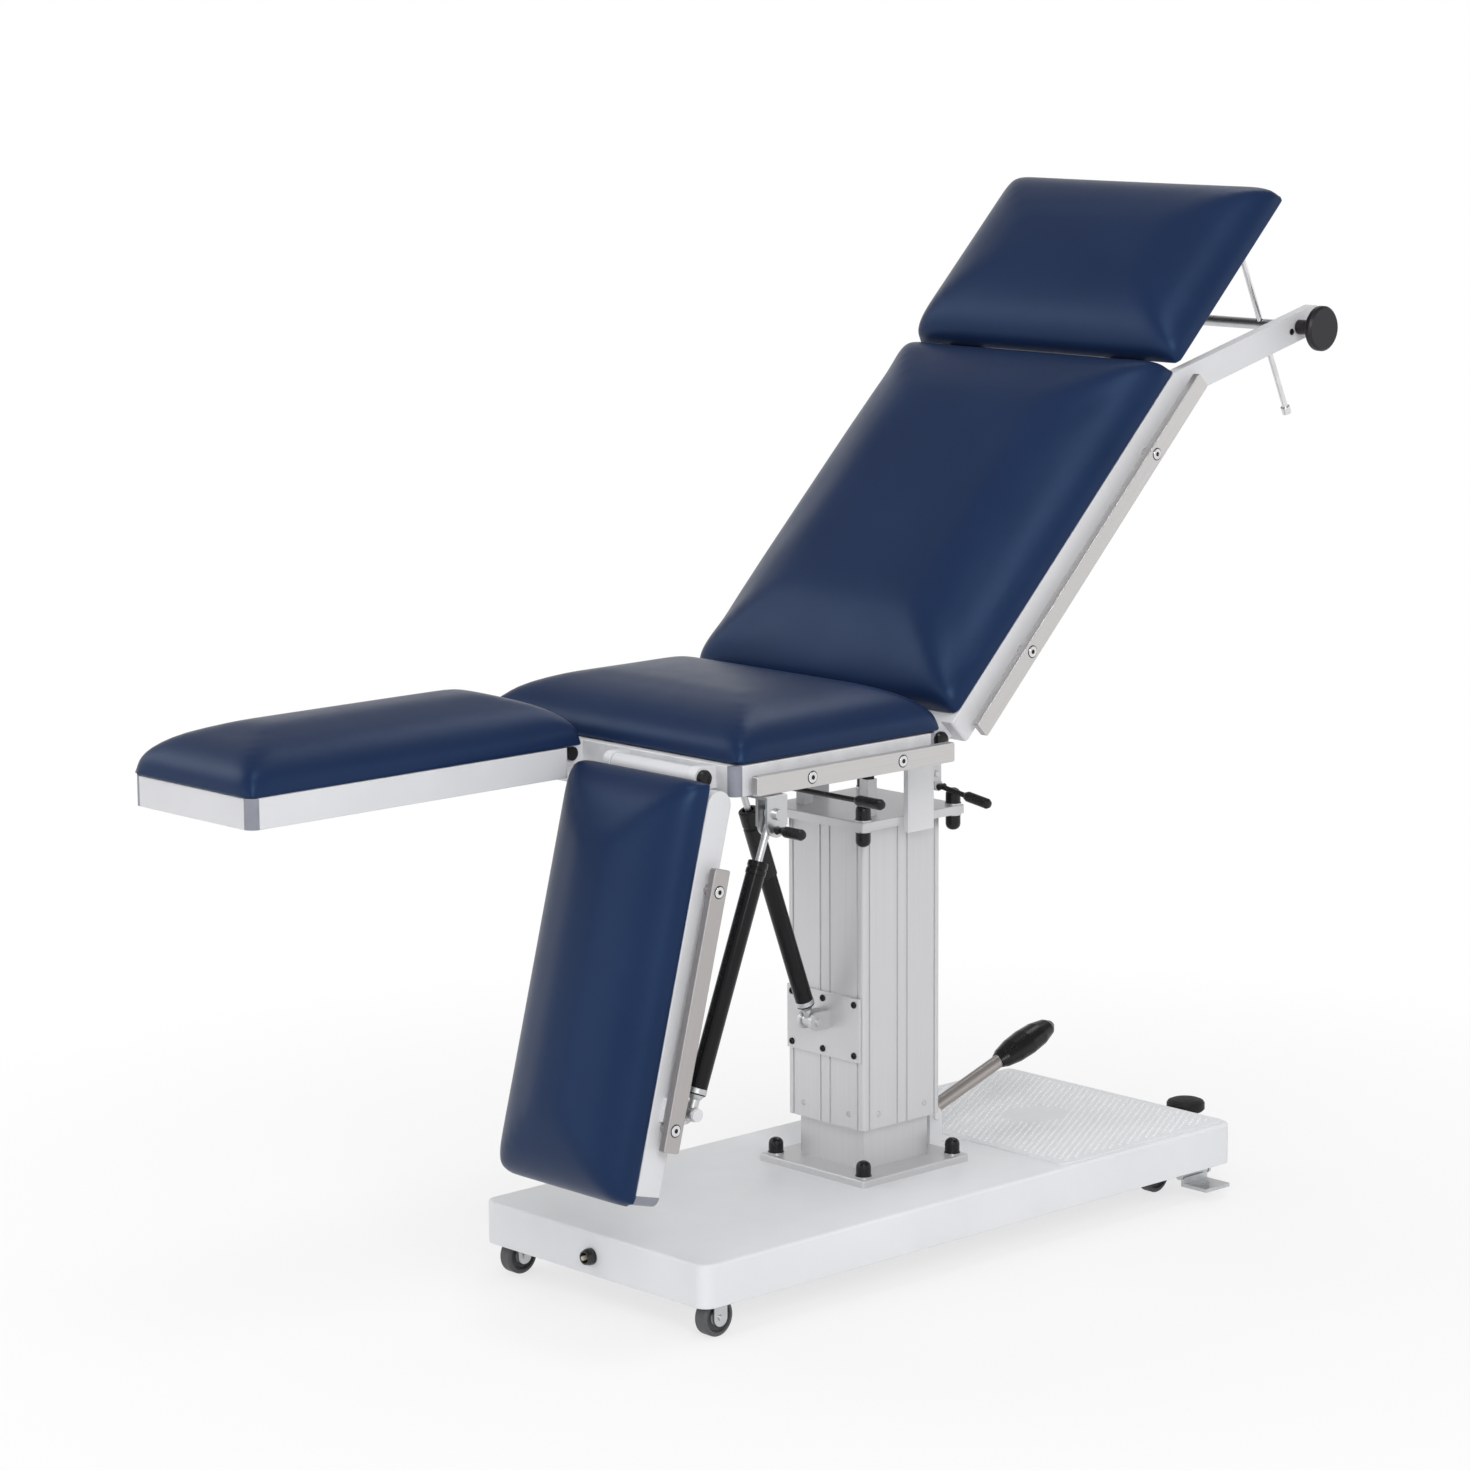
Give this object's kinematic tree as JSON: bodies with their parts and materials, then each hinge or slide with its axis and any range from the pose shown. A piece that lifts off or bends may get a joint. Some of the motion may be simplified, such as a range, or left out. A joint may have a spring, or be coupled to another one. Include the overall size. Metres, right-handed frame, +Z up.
{
  "type": "operating table",
  "caption": "Split-leg operating table: wheeled base, hydraulic column, tilting seat, folding legs, back and head sections, gas struts, side rails and navy pads.",
  "frame": {"origin": "on the floor under the column axis", "axes": "+X towards the head end, +Y towards the far side of the picture, +Z up"},
  "size_m": [1.6611, 0.627, 1.3946],
  "materials": {
    "white_coat": "satin white powder coat",
    "frame_alloy": "pale grey coated profile",
    "column_alloy": "satin anodised extrusion",
    "rail_steel": "brushed along its length",
    "zinc_steel": "zinc plated",
    "bright_steel": "polished",
    "upholstery": "smooth navy leatherette",
    "cap_plastic": "lavender grey moulded",
    "black_plastic": "black moulded",
    "strut_black": "gloss black enamel",
    "knob_plastic": "graphite moulded",
    "mat_rubber": "pale mat with raised dashes",
    "black_rubber": "moulded",
    "wheel_rubber": "grey tread"
  },
  "bodies": {
    "base": {"base_cover": "white_coat", "foot_mat": "mat_rubber", "column_plate": "column_alloy", "base_cap_nuts": "black_plastic", "inner_column": "column_alloy", "hydraulic_cylinder": "zinc_steel", "pump_bracket": "white_coat", "bonding_socket": "black_plastic", "wheel_brackets": "zinc_steel"},
    "pump": {"pump_lever": "zinc_steel", "pump_grip": "black_plastic"},
    "lowering": {"lowering_pedal": "black_rubber"},
    "brake": {"brake_pedal": "zinc_steel"},
    "wheel_near": {"front_wheel_near": "wheel_rubber"},
    "wheel_far": {"front_wheel_far": "wheel_rubber"},
    "fork_near": {"caster_fork_near": "zinc_steel"},
    "fork_far": {"caster_fork_far": "zinc_steel"},
    "roller_near": {"caster_wheel_near": "black_rubber"},
    "roller_far": {"caster_wheel_far": "black_rubber"},
    "lift": {"outer_column": "column_alloy", "top_plate": "column_alloy", "top_cap_nuts": "black_plastic", "tilt_posts": "white_coat", "stop_buffers": "black_rubber", "strut_bracket": "column_alloy", "piston_rod": "bright_steel"},
    "tilt_tube": {"tilt_cylinder": "strut_black"},
    "tilt_stem": {"tilt_rod": "bright_steel"},
    "tilt_handle": {"tilt_lever": "black_plastic"},
    "seat": {"seat_frame": "frame_alloy", "seat_caps": "cap_plastic", "seat_pad": "upholstery", "seat_rails": "rail_steel", "hinge_bolts": "black_plastic", "tilt_bars": "white_coat"},
    "back": {"back_frame": "frame_alloy", "back_pad": "upholstery", "back_rails": "rail_steel"},
    "back_stem": {"back_rod": "bright_steel"},
    "back_tube": {"back_cylinder": "strut_black"},
    "back_handle": {"back_lever": "black_plastic"},
    "head": {"head_board": "frame_alloy", "head_pad": "upholstery"},
    "guides": {"head_rods": "bright_steel"},
    "clamp_bar": {"crossbar": "zinc_steel"},
    "knob": {"clamp_knob": "knob_plastic"},
    "leg_near": {"leg_frame_near": "frame_alloy", "leg_caps_near": "cap_plastic", "leg_pad_near": "upholstery", "leg_rail_near": "rail_steel"},
    "leg_tube_near": {"leg_cylinder_near": "strut_black"},
    "leg_stem_near": {"leg_rod_near": "bright_steel"},
    "leg_handle_near": {"leg_lever_near": "black_plastic"},
    "leg_far": {"leg_frame_far": "frame_alloy", "leg_caps_far": "cap_plastic", "leg_pad_far": "upholstery", "leg_rail_far": "rail_steel"},
    "leg_tube_far": {"leg_cylinder_far": "strut_black"},
    "leg_stem_far": {"leg_rod_far": "bright_steel"},
    "leg_handle_far": {"leg_lever_far": "black_plastic"}
  },
  "joints": [
    {"name": "wheel_roll_near", "type": "hinge", "parent": "base", "child": "wheel_near", "pos_m": [-0.452, -0.189, 0.025], "axis": [0, 1, 0], "continuous": true},
    {"name": "caster_swivel_near", "type": "hinge", "parent": "base", "child": "fork_near", "pos_m": [0.455, -0.132, 0.045], "axis": [0, 0, 1], "continuous": true},
    {"name": "caster_roll_near", "type": "hinge", "parent": "fork_near", "child": "roller_near", "pos_m": [0.437, -0.132, 0.025], "axis": [0, 1, 0], "continuous": true},
    {"name": "wheel_roll_far", "type": "hinge", "parent": "base", "child": "wheel_far", "pos_m": [-0.452, 0.189, 0.025], "axis": [0, 1, 0], "continuous": true},
    {"name": "caster_swivel_far", "type": "hinge", "parent": "base", "child": "fork_far", "pos_m": [0.455, 0.132, 0.045], "axis": [0, 0, 1], "continuous": true},
    {"name": "caster_roll_far", "type": "hinge", "parent": "fork_far", "child": "roller_far", "pos_m": [0.437, 0.132, 0.025], "axis": [0, 1, 0], "continuous": true},
    {"name": "pump_pedal", "type": "hinge", "parent": "base", "child": "pump", "pos_m": [0.118, 0, 0.146], "axis": [0, 1, 0], "range_deg": [0, 12], "stiffness_Nm_per_rad": 30, "springref_deg": -6.88},
    {"name": "lowering_pedal_press", "type": "hinge", "parent": "base", "child": "lowering", "pos_m": [0.52, -0.092, 0.067], "axis": [0, 1, 0], "range_deg": [0, 8], "stiffness_Nm_per_rad": 12, "springref_deg": -5.73},
    {"name": "brake_pedal_press", "type": "hinge", "parent": "base", "child": "brake", "pos_m": [0.464, -0.182, 0.034], "axis": [1, 0, 0], "range_deg": [0, 12], "stiffness_Nm_per_rad": 4, "springref_deg": -5.73},
    {"name": "lift_travel", "type": "slide", "parent": "base", "child": "lift", "axis": [0, 0, 1], "range_m": [-0.045, 0.255]},
    {"name": "table_tilt", "type": "hinge", "parent": "lift", "child": "seat", "pos_m": [0.004, 0, 0.684], "axis": [0, 1, 0], "range_deg": [0, 20]},
    {"name": "tilt_tube_swing", "type": "hinge", "parent": "lift", "child": "tilt_tube", "pos_m": [-0.1, 0, 0.313], "axis": [0, 1, 0], "range_deg": [-0.5, 5.54]},
    {"name": "tilt_stem_travel", "type": "slide", "parent": "tilt_tube", "child": "tilt_stem", "axis": [-0.3475, 0, 0.9377], "range_m": [-0.002, 0.07644]},
    {"name": "tilt_lever_press", "type": "hinge", "parent": "tilt_stem", "child": "tilt_handle", "pos_m": [-0.22749, -0.0113, 0.65703], "axis": [-0.9377, 0, -0.3475], "range_deg": [0, 3.5], "stiffness_Nm_per_rad": 6, "springref_deg": -8.59},
    {"name": "leg_fold_near", "type": "hinge", "parent": "seat", "child": "leg_near", "pos_m": [-0.482, -0.124, 0.717], "axis": [0, -1, 0], "range_deg": [-75.3, 4.7]},
    {"name": "leg_tube_swing_near", "type": "hinge", "parent": "leg_near", "child": "leg_tube_near", "pos_m": [-0.5497, -0.2565, 0.31709], "axis": [0, -1, 0], "range_deg": [-0.83, 5.85]},
    {"name": "leg_stem_travel_near", "type": "slide", "parent": "leg_tube_near", "child": "leg_stem_near", "axis": [0.3626, 0, 0.9319], "range_m": [-0.00789, 0.09635]},
    {"name": "leg_lever_press_near", "type": "hinge", "parent": "seat", "child": "leg_handle_near", "pos_m": [-0.412, -0.2715, 0.651], "axis": [-1, 0, 0], "range_deg": [0, 8], "stiffness_Nm_per_rad": 1.5, "springref_deg": -8.59},
    {"name": "leg_fold_far", "type": "hinge", "parent": "seat", "child": "leg_far", "pos_m": [-0.482, 0.124, 0.717], "axis": [0, -1, 0], "range_deg": [0, 80]},
    {"name": "leg_tube_swing_far", "type": "hinge", "parent": "leg_far", "child": "leg_tube_far", "pos_m": [-0.886, 0.2565, 0.681], "axis": [0, -1, 0], "range_deg": [-6.18, 0.5]},
    {"name": "leg_stem_travel_far", "type": "slide", "parent": "leg_tube_far", "child": "leg_stem_far", "axis": [0.9998, 0, -0.0211], "range_m": [-0.10224, 0.002]},
    {"name": "leg_lever_press_far", "type": "hinge", "parent": "seat", "child": "leg_handle_far", "pos_m": [-0.412, 0.2715, 0.651], "axis": [1, 0, 0], "range_deg": [0, 8], "stiffness_Nm_per_rad": 1.5, "springref_deg": -8.59},
    {"name": "back_fold", "type": "hinge", "parent": "seat", "child": "back", "pos_m": [-0.083, 0, 0.717], "axis": [0, -1, 0], "range_deg": [-45, 10]},
    {"name": "back_stem_swing", "type": "hinge", "parent": "seat", "child": "back_stem", "pos_m": [0.056, -0.066, 0.636], "axis": [0, -1, 0], "range_deg": [-54.03, 12.39]},
    {"name": "back_tube_travel", "type": "slide", "parent": "back_stem", "child": "back_tube", "axis": [0.4765, 0, 0.8792], "range_m": [-0.11392, 0.02687]},
    {"name": "back_lever_press", "type": "hinge", "parent": "seat", "child": "back_handle", "pos_m": [0.062, -0.08396, 0.61844], "axis": [-1, 0, 0], "range_deg": [0, 6], "stiffness_Nm_per_rad": 2, "springref_deg": -8.59},
    {"name": "head_fold", "type": "hinge", "parent": "back", "child": "head", "pos_m": [0.34727, 0, 1.16283], "axis": [0, -1, 0], "range_deg": [-20, 25]},
    {"name": "guide_swing", "type": "hinge", "parent": "head", "child": "guides", "pos_m": [0.53466, 0, 1.32759], "axis": [0, -1, 0], "range_deg": [-12.25, 9.9]},
    {"name": "clamp_bar_turn", "type": "hinge", "parent": "back", "child": "clamp_bar", "pos_m": [0.59074, 0, 1.20439], "axis": [0, -1, 0], "range_deg": [-11.1, 13.75]},
    {"name": "clamp_knob_turn", "type": "hinge", "parent": "clamp_bar", "child": "knob", "pos_m": [0.59074, -0.244, 1.20439], "axis": [0, 1, 0], "range_deg": [0, 270]}
  ],
  "couplings": [
    {"joint": "tilt_tube_swing", "follows": "table_tilt", "ratio": 0.25183},
    {"joint": "tilt_stem_travel", "follows": "table_tilt", "m_per_rad": 0.21326},
    {"joint": "back_stem_swing", "follows": "back_fold", "ratio": 1.1895},
    {"joint": "back_tube_travel", "follows": "back_fold", "m_per_rad": 0.1425},
    {"joint": "guide_swing", "follows": "head_fold", "ratio": -0.47},
    {"joint": "clamp_bar_turn", "follows": "head_fold", "ratio": 0.53},
    {"joint": "leg_tube_swing_near", "follows": "leg_fold_near", "ratio": -0.071062},
    {"joint": "leg_stem_travel_near", "follows": "leg_fold_near", "m_per_rad": -0.071791},
    {"joint": "leg_tube_swing_far", "follows": "leg_fold_far", "ratio": -0.071062},
    {"joint": "leg_stem_travel_far", "follows": "leg_fold_far", "m_per_rad": -0.071791}
  ]
}
